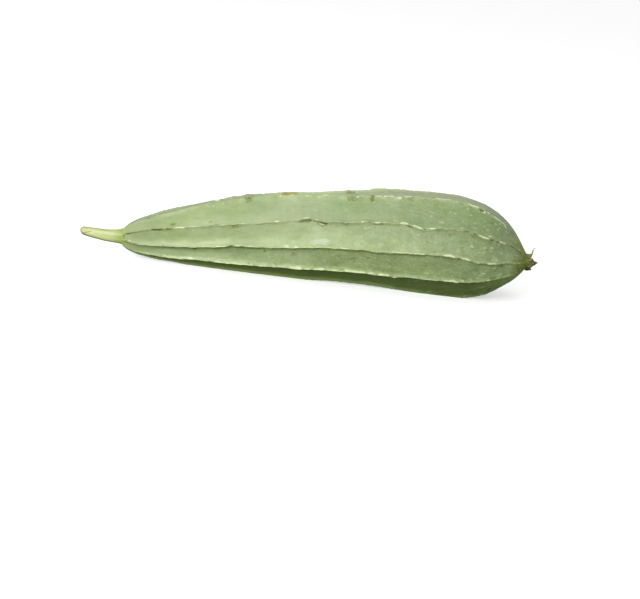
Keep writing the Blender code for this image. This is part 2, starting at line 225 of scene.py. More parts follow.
# Olive bands of painted shade under a crest: ridge, start, end, height, half width, strength
OLIVE_SHADE_BANDS = (
    (1, 6, 250, -1.9, 1.7, 0.55), (1, 238, 266, 0.3, 1.2, 0.5), (2, 1, 14, -0.3, 1.2, 0.75),
    (2, 30, 100, -1.5, 1.3, 0.66), (2, 100, 230, -1.7, 1.2, 0.5), (3, 3, 13, -0.2, 1, 0.7),
    (3, 150, 262, -1.3, 0.8, 0.25),
)
# Flecks that crowd towards the tip between two stations, and others beside the crests
FLECK_SEED = 78
TIP_FLECKS = 260
TIP_FLECK_STATIONS = (222, 275)
CREST_FLECKS = 300

# The skin's painted light and shade, as layers that are added up: each side lighter or darker
# as the light falls on it, painted shade by the stem and painted light at the tip. Each has two
# stations, with a smooth rise from 0 at the first to full at the second, then places counted in
# ridges from the lowest in view, and the shading at each of these places.
PAINTED_SHADING_ROUND = (0, 0.5, 1, 1.5, 2, 2.5, 2.85, 3.2, 3.7, 4, 4.5, 4.9, 5.4)
PAINTED_SHADING_NEAR = (1, 1, 1.05, 1.07, 1, 0.97, 0.93, 1, 0.93, 0.92, 0.82, 0.72, 1)
PAINTED_SHADING_FAR = (1, 1, 1.02, 1.04, 1.02, 1.01, 0.92, 0.87, 0.86, 0.93, 1.16, 1.12, 1.06)
PAINTED_SHADING_LAYERS = (
    ((125, 70), PAINTED_SHADING_ROUND, PAINTED_SHADING_NEAR),
    ((70, 125), PAINTED_SHADING_ROUND, PAINTED_SHADING_FAR),
    ((38, 8), (1.9, 2.3, 4, 4.4), (0, -0.13, -0.13, 0)),
    ((238, 262), (0, 0.5, 1, 1.5, 2, 2.5, 2.85, 3.2), (0.288, 0.432, 0.36, 0.384, 0.24, 0.12, 0.024, 0)),
    ((256, 270), (0, 2.5, 3.6, 4.6), (0.3, 0.3, 0.21, 0)),
)
# Rims of painted grey shade along a crest: ridge, height above it, half width, and the stations of their
# fading
PAINTED_SHADE_RIMS = ((4, 0.9, 1.2, 70, 120), (1, -0.6, 1, 22, 34))
# The top's painted grey shade and reflection, and the olive underside's painted shade, in ridges from
# the bottom, and the ripening tip
PAINTED_GREY_TOP = (4.75, 5.5, 6.2, 7.6)
SHADED_UNDERSIDE = (1.40, 1.58)
RIPE_STATIONS = (265, 276)
# Seeds of the waves and noise in the skin and the blossom
WAVER_SEED = 91
STEP_SEED = 61
BEADING_SEED = 53
LUMP_SEED = 3
CRUMPLE_SEED = 8
SEPAL_SEED = 5

# Mesh counts: the panels that face the front are finer than the others
SKIN_RINGS = 450
RING_CROWDING = 0.3
FRONT_PANELS = 5
FINE_HALF = (
    0, 0.012, 0.026, 0.042, 0.06, 0.08, 0.102, 0.128, 0.158, 0.192, 0.23, 0.275, 0.325, 0.38, 0.44
)
PLAIN_HALF = (0, 0.022, 0.052, 0.1, 0.17, 0.27, 0.38)
STEM_RINGS = 90
STEM_SIDES = 70
CONE_RINGS = 70
CONE_SIDES = 96
SEPAL_ROWS = 16
SEPAL_COLUMNS = 9
THREAD_RINGS = 30
THREAD_SIDES = 8

# The floor, and the lamps as azimuth, elevation, distance, size and power
FLOOR_HALF = 6.0
FLOOR_DROP = 0.15 * MM
FLOOR_GLOW = 0.55
FLOOR_SEEN = (0.86, 0.86, 0.86, 1)
FLOOR_BOUNCE = (0.20, 0.24, 0.12, 1)
SKY_STRENGTH = 0.42
LAMPS = {"key": (-35, 24, 1.6, 0.8, 21), "top": (0, 80, 1.6, 1.2, 4)}
# The camera stands at the photograph's viewing angle, rolled so that the gourd slopes as there
CAMERA_ELEVATION = 16
CAMERA_ROLL = 6.5
CAMERA_DISTANCE = 1.313
CAMERA_TARGET = (0.0116, 0, -0.0159)
LENS = 106
SENSOR_WIDTH = 36


def srgb(red, green, blue):
    """A colour given as 0 to 255 on a screen, in the linear values that shaders take."""
    def linear(value):
        value /= 255
        return value / 12.92 if value <= 0.04045 else ((value + 0.055) / 1.055) ** 2.4
    return (linear(red), linear(green), linear(blue), 1.0)


def follow(along, values, station, row=0):
    """A smooth curve through the values at the places along it, read at station."""
    values = np.atleast_2d(values)
    slope = np.gradient(values, along, axis=1)
    i = np.clip(np.searchsorted(along, station) - 1, 0, len(along) - 2)
    step = along[i + 1] - along[i]
    t = (station - along[i]) / step
    return (
        (2 * t**3 - 3 * t**2 + 1) * values[row, i]
        + (t**3 - 2 * t**2 + t) * step * slope[row, i]
        + (3 * t**2 - 2 * t**3) * values[row, i + 1]
        + (t**3 - t**2) * step * slope[row, i + 1]
    )


def curve_through(points_mm, station):
    along, values = np.array(points_mm, float).T * MM
    return follow(along, values, station)


def ends_settle(station):
    return np.clip(np.minimum(station, FRUIT_LENGTH - station) / (25 * MM), 0, 1)


def growth_waves(count, wavelengths, seed):
    """One smooth random wave for each ridge, between about -1 and 1."""
    rng = np.random.default_rng(seed)
    phase = rng.uniform(0, TURN, (count, len(wavelengths)))
    stretch = rng.uniform(0.85, 1.15, (count, len(wavelengths)))

    def wave(ridge, station):
        total = 0
        for n, length in enumerate(wavelengths):
            turns = station / (length * stretch[ridge, n])
            total = total + np.sin(TURN * turns + phase[ridge, n])
        return total / len(wavelengths)

    return wave


def ridge_angle(sector, station):
    wander = growth_waves(RIDGES, (0.160, 0.062), GROWTH_SEED)
    drift = follow(np.array(DRIFT_STATIONS) * MM, np.radians(RIDGE_DRIFT), station, sector % RIDGES)
    even = TURN / RIDGES * (sector + 0.5)
    return even + drift + RIDGE_WANDER * ends_settle(station) * wander(sector % RIDGES, station)


def lying_down():
    """The matrix that lays the gourd's own axis system down on the surface."""
    inset = math.cos(math.pi / RIDGES)
    touching = [
        float(curve_through(ARCH, s) - curve_through(CREST_RADIUS, s) * inset) + pressed
        for s, pressed in zip(REST_STATIONS, PRESSED)
    ]
    tilt = math.atan2(touching[0] - touching[1], REST_STATIONS[1] - REST_STATIONS[0])
    height = REST_STATIONS[0] * math.sin(tilt) + touching[0] * math.cos(tilt)
    return Matrix.Translation((NECK_X, NECK_Y, -height)) @ Matrix.Rotation(-tilt, 4, "Y")


LIE = np.array(lying_down())


def laid(points):
    return points @ LIE[:3, :3].T + LIE[:3, 3]


def step_up(value, low, high):
    t = np.clip((value - low) / (high - low), 0, 1)
    return t * t * (3 - 2 * t)


def bell(distance, half_width):
    return np.exp(-((distance / half_width) ** 2))


def between(value, rise_from, rise_to, fall_from, fall_to):
    """1 in the middle of a stretch and 0 outside it, with soft ends."""
    return step_up(value, rise_from, rise_to) * (1 - step_up(value, fall_from, fall_to))


def full_turn(count):
    return np.linspace(0, TURN, count, endpoint=False)[None, :]


def unit(vectors):
    return vectors / np.linalg.norm(vectors, axis=-1, keepdims=True)


def ring_axes(path, aside):
    """At each point of a path its heading and two directions across, the first towards aside."""
    heading = unit(np.gradient(path, axis=0))
    side = unit(np.array(aside) - heading * (heading @ aside)[:, None])
    return heading, side, np.cross(side, heading)


def soft_noise(points, wavelength, seed, octaves=1):
    """Smooth noise from a sum of seeded waves, about -1 to 1, for points in metres."""
    rng = np.random.default_rng(seed)
    total = np.zeros(points.shape[:-1])
    for octave in range(octaves):
        for _ in range(7):
            way = rng.normal(size=3)
            way *= TURN / (wavelength * rng.uniform(0.7, 1.4) * np.linalg.norm(way))
            total += np.sin(points @ (way * 2**octave) + rng.uniform(0, 7)) / 2.6 / 1.8**octave
    return total


def tube(name, points, masks, wrap=True):
    """A mesh through rows of points. With wrap it closes round each row and is capped at both
    ends. The masks are numbers for each point, kept on the mesh for its material to read."""
    rows, columns = points.shape[:2]
    corner = np.arange(rows * columns).reshape(rows, columns)
    left = corner if wrap else corner[:, :-1]
    right = np.roll(corner, -1, axis=1) if wrap else corner[:, 1:]
    faces = np.stack([left[:-1], right[:-1], right[1:], left[1:]], -1).reshape(-1, 4).tolist()
    if wrap:
        faces += [corner[0, ::-1].tolist(), corner[-1].tolist()]
    mesh = bpy.data.meshes.new(name)
    mesh.from_pydata(points.reshape(-1, 3).tolist(), [], faces)
    for key, values in masks.items():
        layer = mesh.attributes.new(key, "FLOAT", "POINT")
        layer.data.foreach_set("value", np.broadcast_to(values, (rows, columns)).ravel().astype(float))
    mesh.update()
    mesh.shade_smooth()
    return mesh


def new_object(name, data):
    made = bpy.data.objects.new(name, data)
    bpy.context.scene.collection.objects.link(made)
    return made


def as_piece(name, mesh, material, solid):
    """Puts a mesh into the scene in place of one of the solid pieces."""
    piece = new_object(name, mesh)
    mesh.materials.append(material)
    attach(piece, "root")
    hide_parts(solid)
    return piece


# Node materials


class Nodes:
    """A material and its nodes, each made and linked by one call."""

    def __init__(self, name, roughness, specular=0.5):
        self.material = bpy.data.materials.new(name)
        self.material.use_nodes = True
        self.tree = self.material.node_tree
        self.shader = self.tree.nodes["Principled BSDF"]
        self.give("Roughness", roughness)
        self.give("Specular IOR Level", specular)

    def feed(self, made, key, value):
        if isinstance(value, bpy.types.NodeSocket):
            self.tree.links.new(value, made.inputs[key])
        else:
            made.inputs[key].default_value = value

    def give(self, key, value):
        self.feed(self.shader, key, value)

    def node(self, kind, inputs=None, output=0, **settings):
        made = self.tree.nodes.new("ShaderNode" + kind)
        for key, value in settings.items():
            setattr(made, key, value)
        for key, value in (inputs or {}).items():
            self.feed(made, key, value)
        return made.outputs[output]

    def plus(self, first, second):
        return self.node("Math", {0: first, 1: second}, operation="ADD")

    def times(self, first, second):
        return self.node("Math", {0: first, 1: second}, operation="MULTIPLY")

    def span(self, value, low, high, to_low=0.0, to_high=1.0):
        """Turns the stretch from low to high into a smooth step from to_low to to_high."""
        inputs = {0: value, 1: low, 2: high, 3: to_low, 4: to_high}
        return self.node("MapRange", inputs, interpolation_type="SMOOTHSTEP")

    def blend(self, share, first, second, how="MIX"):
        inputs = {0: share, 6: first, 7: second}
        return self.node("Mix", inputs, output=2, data_type="RGBA", blend_type=how)

    def shaded(self, colour, value):
        """A colour made darker or lighter, by a factor."""
        grey = self.node("CombineColor", {0: value, 1: value, 2: value})
        return self.blend(1.0, colour, grey, "MULTIPLY")

    def mask(self, name):
        return self.node("Attribute", output=2, attribute_name=name)

    def stretched(self, scale):
        place = self.node("TexCoord", output=3)
        return self.node("Mapping", {"Vector": place, "Scale": scale}, vector_type="POINT")

    def cloud(self, place, scale, detail=2.0, roughness=0.5):
        inputs = {"Vector": place, "Scale": scale, "Detail": detail, "Roughness": roughness}
        return self.node("TexNoise", inputs)

    def flecks(self, place, scale, rarity):
        """Irregular blobs, fewer and smaller where rarity is higher."""
        return self.span(self.cloud(place, scale), rarity, self.plus(rarity, 0.055))

    def bump(self, height, distance, strength):
        inputs = {"Height": height, "Distance": distance, "Strength": strength}
        self.give("Normal", self.node("Bump", inputs))


def skin_material():
    m = Nodes("gourd_skin", 0.5, 0.4)
    even = m.stretched((1, 1, 1))
    lengthwise = m.stretched((0.2, 1, 1))
    longish = m.stretched((0.55, 1, 1))
    station = m.mask("station")
    crest = m.mask("crest")
    busy = m.mask("busy")
    far = m.span(station, 110, 262)

    # The ground colour: paler towards the stem, with drifts towards blue and towards yellow
    patch = m.span(m.cloud(longish, 30, 3), 0.38, 0.64)
    base = m.blend(patch, srgb(176, 191, 145), srgb(158, 175, 120))
    base = m.blend(m.times(far, 0.8), base, srgb(147, 164, 119))
    bluish = m.span(m.cloud(longish, 62, 3, 0.6), 0.5, 0.7)
    base = m.blend(m.times(bluish, 0.3), base, srgb(150, 178, 138))
    yellowish = m.span(m.cloud(even, 84, 3, 0.6), 0.54, 0.72)
    base = m.blend(m.times(yellowish, 0.26), base, srgb(172, 184, 118))
    mottle = m.span(m.cloud(longish, 230, 4, 0.65), 0.3, 0.72, -1, 1)
    mottle = m.times(mottle, m.span(busy, 0.1, 1, 0.045, 0.095))
    base = m.shaded(base, m.plus(mottle, 1))
    streak = m.span(m.cloud(lengthwise, 380, 2, 0.6), 0.35, 0.7, 0.965, 1.03)
    base = m.shaded(base, streak)
    rough_grain = m.span(busy, 0.1, 1, 0.045, 0.15)
    grain = m.span(m.cloud(even, 820, 3, 0.65), 0.3, 0.72, -1, 1)
    grain = m.plus(m.times(grain, rough_grain), 1)
    base = m.shaded(base, grain)

    # Colour and painted shading of each side: greener on the top panel, painted grey shade and
    # reflection (dull) above the front, painted shade on the olive underside, and painted light and
    # shade side by side
    greener = m.span(m.cloud(longish, 55, 3, 0.6), 0.3, 0.66, 0.06, 0.36)
    base = m.blend(m.times(m.mask("lush"), greener), base, srgb(130, 162, 92))
    # Painted grey shade and reflection on the top and along two crests
    base = m.blend(m.times(m.mask("painted_grey_shade"), 0.46), base, srgb(152, 147, 131))
    # Painted shade and green bounce light on the olive underside
    base = m.blend(m.times(m.mask("painted_underside_shade"), 0.68), base, srgb(108, 134, 42))
    # Painted light and shade: each side made lighter or darker as the light falls on it
    base = m.shaded(base, m.mask("painted_shading"))
    # Paler near the crests: slightly lighter tissue and a painted highlight where the crests catch the
    # light
    crest_paling_and_highlight = m.span(crest, 0.3, 2.4, 1, 0)
    crest_paling_and_highlight = m.times(crest_paling_and_highlight, m.span(station, 60, 120, 0.06, 0.2))
    crest_paling_and_highlight = m.times(crest_paling_and_highlight, m.span(station, 238, 260, 1, 0))
    base = m.blend(crest_paling_and_highlight, base, srgb(190, 203, 150))

    # Flecks, few by the stem and many towards the tip
    tipward = m.span(station, 232, 266)
    rarity = m.span(busy, 0, 1, 0.735, 0.620)
    rarity = m.plus(rarity, m.times(tipward, -0.045))
    light = m.flecks(longish, 370, rarity)
    lightness = m.span(tipward, 0, 1, 0.38, 0.54)
    base = m.blend(m.times(light, lightness), base, srgb(198, 210, 160))
    rarity = m.span(busy, 0, 1, 0.725, 0.630)
    dark = m.flecks(m.stretched((0.7, 1, 1.1)), 300, rarity)
    base = m.blend(m.times(dark, 0.46), base, srgb(98, 120, 62))

    # The marks that the mesh carries, torn along their edges
    tear = m.plus(m.cloud(longish, 520, 3, 0.65), -0.5)

    def torn(name, low, high, raggedness):
        edge = m.times(tear, raggedness)
        return m.span(m.plus(m.mask(name), edge), low, high)

    # Olive blotches and flecks, with olive bands of painted shade under the crests
    olive_and_painted_shade = m.times(torn("olive_and_painted_shade", 0.14, 0.98, 0.9), 0.85)
    base = m.blend(olive_and_painted_shade, base, srgb(114, 122, 44))
    milky = m.times(torn("milky", 0.1, 1, 1.2), 0.66)
    base = m.blend(milky, base, srgb(198, 212, 186))
    ripening = m.span(station, 270, 278)
    ripe = m.blend(ripening, srgb(170, 184, 106), srgb(158, 167, 74))
    ripe = m.blend(m.span(m.cloud(even, 300, 3), 0.4, 0.7), ripe, srgb(132, 148, 68))
    base = m.blend(torn("ripe", 0.1, 1.1, 1.1), base, ripe)
    base = m.blend(m.mask("rind"), base, srgb(164, 180, 98))
    # Dark cracks, with painted shade under the crests and painted shadows under the flap, in the fold
    # and at the seam
    base = m.blend(torn("dark", 0.14, 0.9, 0.7), base, srgb(72, 84, 34))
    # Pale worn skin, with a painted highlight on the crests
    base = m.blend(torn("pale", 0.18, 0.82, 0.7), base, srgb(216, 227, 178))
    mottled = m.span(m.cloud(longish, 420, 2), 0.42, 0.58)
    corky = m.blend(mottled, srgb(172, 164, 84), srgb(120, 120, 60))
    base = m.blend(torn("scar", 0.3, 0.6, 0.9), base, corky)
    m.give("Base Color", base)

    m.give("Roughness", m.span(m.cloud(longish, 160, 2), 0.3, 0.7, 0.42, 0.6))
    m.give("Sheen Weight", 0.16)
    m.give("Sheen Roughness", 0.4)
    m.give("Sheen Tint", srgb(225, 222, 226))
    grit = m.times(m.cloud(even, 650, 3, 0.6), 0.5)
    veins = m.times(m.cloud(lengthwise, 500, 2), 0.25)
    m.bump(m.plus(m.plus(grit, veins), m.times(light, 0.3)), 0.35 * MM, 0.6)
    return m.material


def stem_material():
    m = Nodes("pale_stalk", 0.42, 0.5)
    even = m.stretched((1, 1, 1))
    lengthwise = m.stretched((0.12, 1, 1))
    along = m.mask("along")
    base = m.blend(m.span(along, 0, 0.3), srgb(164, 178, 100), srgb(205, 212, 152))
    base = m.blend(m.span(along, 0.74, 0.93), base, srgb(192, 185, 128))
    base = m.blend(m.span(along, 0.95, 1), base, srgb(172, 158, 122))
    fibre = m.span(m.cloud(lengthwise, 760, 3, 0.6), 0.35, 0.7)
    base = m.blend(m.times(fibre, 0.2), base, srgb(172, 186, 106))
    # Painted shade in the furrows and the crease
    base = m.blend(m.times(m.mask("groove"), 0.5), base, srgb(138, 158, 78))
    # Painted shade: a greyer top side
    base = m.blend(m.mask("edge"), base, srgb(150, 150, 96))
    base = m.blend(m.mask("collar"), base, srgb(128, 146, 72))
    pith = m.span(m.cloud(even, 1500, 3), 0.4, 0.65)
    cut = m.blend(pith, srgb(194, 180, 124), srgb(152, 136, 90))
    base = m.blend(m.mask("cut"), base, cut)
    m.give("Base Color", base)
    m.bump(m.cloud(lengthwise, 1200, 3), 0.2 * MM, 0.6)
    return m.material


def dry_material():
    m = Nodes("withered_flower", 0.85, 0.25)
    even = m.stretched((1, 1, 1))
    coarse = m.cloud(even, 420, 4, 0.65)
    fine = m.cloud(even, 1600, 3, 0.6)
    base = m.blend(m.span(coarse, 0.38, 0.62), srgb(122, 114, 76), srgb(158, 148, 116))
    base = m.blend(m.times(m.span(fine, 0.52, 0.78), 0.6), base, srgb(70, 60, 34))
    fresh = m.blend(m.span(coarse, 0.36, 0.64), srgb(146, 152, 72), srgb(112, 122, 48))
    base = m.blend(m.mask("fresh"), base, fresh)
    # Painted highlight along the top of the cup's rim and the upper sepals' edges, and the threads' pale
    # ends
    base = m.blend(m.mask("edge"), base, srgb(212, 203, 150))
    # Painted shade in the folds and on the underside
    base = m.blend(m.mask("painted_shade"), base, srgb(54, 48, 26))
    m.give("Base Color", base)
    m.bump(m.plus(coarse, fine), 0.25 * MM, 0.6)
    return m.material


# The fruit


def strokes_on(ridge, kind, rng):
    """The marks listed for a ridge, or a seeded scatter of them where none are listed."""
    listed = (PALE_STROKES if kind == "pale" else DARK_LINES).get(ridge)
    if listed:
        return listed
    scatter = []
    station = rng.uniform(8, 20)
    while station < LAST_STROKE - 2:
        length = rng.uniform(2, 12)
        offset = rng.uniform(-0.4, 0.4) - (0.6 if kind == "dark" else 0)
        end = min(station + length, LAST_STROKE)
        scatter.append((station, end, rng.uniform(0.6, 1.7), offset))
        station += length + rng.uniform(3, 22)
    return scatter


def crest_marks(kind, skin):
    """How strongly each point is marked, from 0 to 1, by the strokes along the crests."""
    seed, faint, gain, most = STROKE_KINDS[kind]
    rng = np.random.default_rng(seed)
    waver = growth_waves(RIDGES, (0.013, 0.0061), WAVER_SEED)
    total = np.zeros_like(skin.above)
    for ridge in range(RIDGES):
        for start, end, bold, height in strokes_on(ridge, kind, rng):
            rows = slice(*np.searchsorted(skin.line_mm, (start - 1.5, end + 1.5)))
            at = skin.line_mm[rows, None]
            soft = min(1.4, (end - start) / 2)
            reach = between(at, start - 0.7, start + soft, end - soft, end + 0.7)
            taper = np.clip(4 * (at - start) * (end - at) / (end - start) ** 2, 0, 1) ** 0.4
            wide = STROKE_HALF_WIDTH * math.sqrt(bold) * (0.2 + 0.8 * taper)
            off = skin.above[rows] - height - 0.18 * waver(ridge, at * MM)
            strength = min(most, faint + gain * bold)
            mark = strength * reach**0.6 * bell(off, wide)
            total[rows] = np.maximum(total[rows], np.where(skin.nearest == ridge, mark, 0))
    return total


def crest_steps(ridge, station):
    """How far each crest is pushed round the fruit, in metres: kinks and a fine waver."""
    fine = growth_waves(RIDGES, (0.015, 0.0085, 0.027), STEP_SEED)(ridge, station)
    push = CREST_WAVER * ends_settle(station) * fine
    for place, at, shift, width in KINKS:
        push = push + np.where(ridge == place, shift * bell(station / MM - at, width), 0)
    return push * MM


def oval(ds, dh, length, height):
    """A soft patch with an uneven outline, 1 at its middle and 0 outside it, sizes in mm."""
    reach = np.sqrt((2 * ds / length) ** 2 + (2 * dh / height) ** 2)
    uneven = 0.17 * np.sin(2.3 * ds + 1.7 * dh + length)
    uneven = uneven + 0.15 * np.sin(1.3 * ds - 2.9 * dh + 3 * height)
    return 1 - step_up(reach + uneven, 0.45, 1.25)


def panel_columns(half):
    return half + (0.5,) + tuple(1 - u for u in half[:0:-1])


def skin_radius(skin):
    """How far the skin lies from the fruit's middle line, before its finest relief."""
    station, mm, off_crest = skin.station, skin.mm, skin.off_crest
    unevenness = growth_waves(RIDGES, (0.090, 0.037), GROWTH_SEED + 1)
    crest_wave = growth_waves(RIDGES, (0.041, 0.024), GROWTH_SEED + 2)
    settle = ends_settle(station)
    drop = skin.crest * (1 - np.cos(skin.gap / 2)) + curve_through(PANEL_HOLLOW, station)
    across = step_up(skin.share, 0.2, 0.8)
    low_ridge = LOW_RIDGE_SHARE - LOW_STRETCH_LOSS * between(mm, *LOW_STRETCH)
    rib = 0
    for ridge, weight in ((skin.sector, 1 - across), (skin.upper, across)):
        tall = (1 + RIB_UNEVENNESS * unevenness(ridge, station)) * weight
        rib = rib + tall * np.where(ridge == LOW_RIDGE, low_ridge, 1)
    rib = rib * curve_through(RIB_HEIGHT, station)
    rib = rib * (1 - TIP_RIDGE_LOSS * step_up(mm, *TIP_LOSS_STATIONS))
    swelling = SWELLING * settle * (
        np.sin(station / (17 * MM) + 2 * skin.angle) + np.sin(station / (29 * MM) - 3 * skin.angle)
    )
    radius = (
        skin.crest
        - drop * (1 - (1 - 2 * off_crest) ** 2)
        - rib * (1 - skin.rib_shape)
        + CREST_WAVE * settle * crest_wave(skin.nearest, station) * skin.rib_shape
        + swelling
    )
    for ridge, at, lift, width in LIFTS:
        rise = lift * MM * bell(mm - at, width) * bell(off_crest, 0.12)
        radius = radius + np.where(skin.nearest == ridge, rise, 0)
    return radius


def skin_layout():
    """The rings and columns of the skin, and where each of its points lies on the fruit."""
    t = np.linspace(0, 1, SKIN_RINGS)
    line = FRUIT_LENGTH * (t - RING_CROWDING * np.sin(TURN * t) / TURN)
    shares = [
        panel_columns(FINE_HALF if n < FRONT_PANELS else PLAIN_HALF) for n in range(RIDGES)
    ]
    skin = SimpleNamespace(line_mm=line / MM, station=line[:, None])
    skin.mm = skin.station / MM
    skin.share = np.concatenate(shares)[None, :]
    skin.sector = np.repeat(np.arange(RIDGES), [len(s) for s in shares])[None, :]
    skin.upper = (skin.sector + 1) % RIDGES
    skin.nearest = np.where(skin.share < 0.5, skin.sector, skin.upper)
    skin.off_crest = np.minimum(skin.share, 1 - skin.share)
    skin.rib_shape = bell(skin.off_crest, RIB_WIDTH)
    skin.crest = curve_through(CREST_RADIUS, skin.station)
    here = ridge_angle(skin.sector, skin.station)
    here = here + crest_steps(skin.sector, skin.station) / skin.crest
    after = ridge_angle(skin.sector + 1, skin.station)
    after = after + crest_steps(skin.upper, skin.station) / skin.crest
    skin.gap = after - here
    skin.angle = here + skin.share * skin.gap
    skin.radius = skin_radius(skin)

    # The panel's width, and how far a point lies above its ridge's crest, in mm round the skin
    skin.width = skin.gap * skin.radius / MM
    facing = np.where(np.sin(TURN / RIDGES * (skin.nearest + 0.5)) > 0, 1, -1)
    skin.above = np.where(skin.share < 0.5, skin.share, skin.share - 1) * skin.width * facing
    return skin


def scatter_flecks(skin, keep_most):
    """Flecks that crowd towards the tip, drawn out along the fruit, and small ones by the crests."""
    rng = np.random.default_rng(FLECK_SEED)
    first, last = TIP_FLECK_STATIONS
    for _ in range(TIP_FLECKS):
        at = first + (last - first) * rng.uniform() ** 0.55
        turn = rng.uniform(0, TURN)
        length, tall, lit = rng.uniform(1.6, 4.6), rng.uniform(1.0, 2.2), rng.uniform() < 0.55
        rows = slice(*np.searchsorted(skin.line_mm, (at - 5, at + 5)))
        swing = (skin.angle[rows] - turn + math.pi) % TURN - math.pi
        mark = oval(skin.mm[rows] - at, swing * skin.radius[rows] / MM, length, tall)
        if lit:
            keep_most("pale", mark * rng.uniform(0.36, 0.72), rows)
        else:
            keep_most("olive_and_painted_shade", mark * rng.uniform(0.3, 0.8), rows)
    for _ in range(CREST_FLECKS):
        at, ridge = rng.uniform(6, 266), rng.integers(RIDGES)
        length, tall, height = rng.uniform(0.9, 3.4), rng.uniform(0.6, 1.1), rng.normal(0, 0.9)
        rows = slice(*np.searchsorted(skin.line_mm, (at - 4, at + 4)))
        mark = oval(skin.mm[rows] - at, skin.above[rows] - height, length, tall)
        mark = np.where(skin.nearest == ridge, mark, 0) * rng.uniform(0.25, 0.6)
        keep_most("pale" if rng.uniform() < 0.5 else "dark", mark, rows)


def skin_marks(skin):
    """The masks of single marks, from 0 to 1: strokes with painted highlight and shade, cracks, scars,
    blotches, flecks, painted shadows, and olive bands of painted shade.
    """
    mm, share, sector, width = skin.mm, skin.share, skin.sector, skin.width
    marks = {kind: crest_marks(kind, skin) for kind in STROKE_KINDS}
    for name in ("scar", "milky", "olive_and_painted_shade"):
        marks[name] = np.zeros_like(skin.above)

    def keep_most(name, mark, rows=slice(None)):
        marks[name][rows] = np.maximum(marks[name][rows], mark)

    opens, gapes, ends = FLAP
    tear = step_up(mm, opens, gapes) * (mm < ends) * (skin.nearest == LOW_RIDGE)
    under_flap = bell(skin.above + 0.3 + 0.9 * tear, 0.35 + 0.7 * tear)
    keep_most("dark", FLAP_SHADOW * tear * under_flap)
    fold_at = FOLD_START + FOLD_CLIMB * step_up(mm, *FOLD_CLIMB_STATIONS)
    fold = bell((share - fold_at) * width, 0.55) * between(mm, *FOLD)
    at, part_way, length, tall = SEAM
    seam = oval(mm - at, (share - part_way) * width, length, tall)
    mark = np.maximum(FOLD_SHADOW * fold, SEAM_SHADOW * seam)
    keep_most("dark", np.where(sector == LOW_RIDGE - 1, mark, 0))

    for ridge, at, height, length, tall, strength in SCARS:
        mark = oval(mm - at, skin.above - height, length, tall) * strength
        keep_most("scar", np.where(skin.nearest == ridge, mark, 0))
    for ridge, patches in BLOTCHES.items():
        for part_way, at, length, tall, strength in patches:
            mark = oval(mm - at, (share - part_way) * width, length, tall) * abs(strength)
            keep_most("milky" if strength > 0 else "olive_and_painted_shade", np.where(sector == ridge, mark, 0))
    # Olive bands of painted shade under the crests
    for ridge, start, end, height, half, strength in OLIVE_SHADE_BANDS:
        reach = strength * between(mm, start - 8, start + 4, end - 4, end + 2)
        mark = reach * bell(skin.above - height, half)
        keep_most("olive_and_painted_shade", np.where(skin.nearest == ridge, mark, 0))
    scatter_flecks(skin, keep_most)
    return marks


def skin_tones_and_shading(skin):
    """The masks of broad tones and painted shading: withered tip, joint, painted grey shade on the upper
    side, painted shade on the olive underside, and painted light and shade on each side.
    """
    mm, angle = skin.mm, skin.angle
    fringe = 1.3 * np.sin(5 * angle + 1) + 0.9 * np.sin(13 * angle) + 0.6 * np.sin(23 * angle + 2)
    mid_panel = step_up(skin.off_crest, 0.02, 0.12) * (skin.sector == LOW_RIDGE - 1)
    joint = 1 - step_up(mm, 0.8 + 0.2 * mid_panel, 3.8 - 2.5 * mid_panel)

    # Places round the fruit, counted in ridges: up from the lowest in view, and from the bottom
    ridges_up = np.broadcast_to(skin.sector + skin.share, skin.above.shape)
    round_it = (skin.sector + skin.share + 0.5) % RIDGES
    from_below = np.minimum(round_it, RIDGES - round_it)
    # Painted light and shade, added up layer by layer
    painted_shading = 0
    for stations, places, shadings in PAINTED_SHADING_LAYERS:
        painted_shading = painted_shading + step_up(mm, *stations) * np.interp(ridges_up, places, shadings)

    # Painted grey shade and reflection on the top, stronger towards the tip, and rims of painted shade
    # along two crests
    painted_grey_shade = between(round_it, *PAINTED_GREY_TOP) * (0.45 + 0.45 * step_up(mm, 145, 190))
    for ridge, height, half, fades, gone in PAINTED_SHADE_RIMS:
        rim = bell(skin.above - height, half) * (1 - step_up(mm, fades, gone))
        painted_grey_shade = np.maximum(painted_grey_shade, rim * (skin.nearest == ridge))
    second_panel = 1 - step_up(np.abs(ridges_up - 1.5), 0.46, 0.54)
    top_panel = 1 - step_up(np.abs(ridges_up - 3.5), 0.40, 0.52)
    return {
        "ripe": step_up(mm + fringe, *RIPE_STATIONS),
        "rind": 0.9 * joint,
        # Painted shade on the underside, less of it towards the tip
        "painted_underside_shade": (1 - step_up(from_below, *SHADED_UNDERSIDE)) * (1 - 0.6 * step_up(mm, 238, 262)),
        "painted_grey_shade": painted_grey_shade,
        "painted_shading": painted_shading,
        "busy": np.clip(0.9 * step_up(mm, 40, 265) + 0.45 * second_panel, 0, 1),
        "lush": step_up(mm, 105, 165) * top_panel,
    }


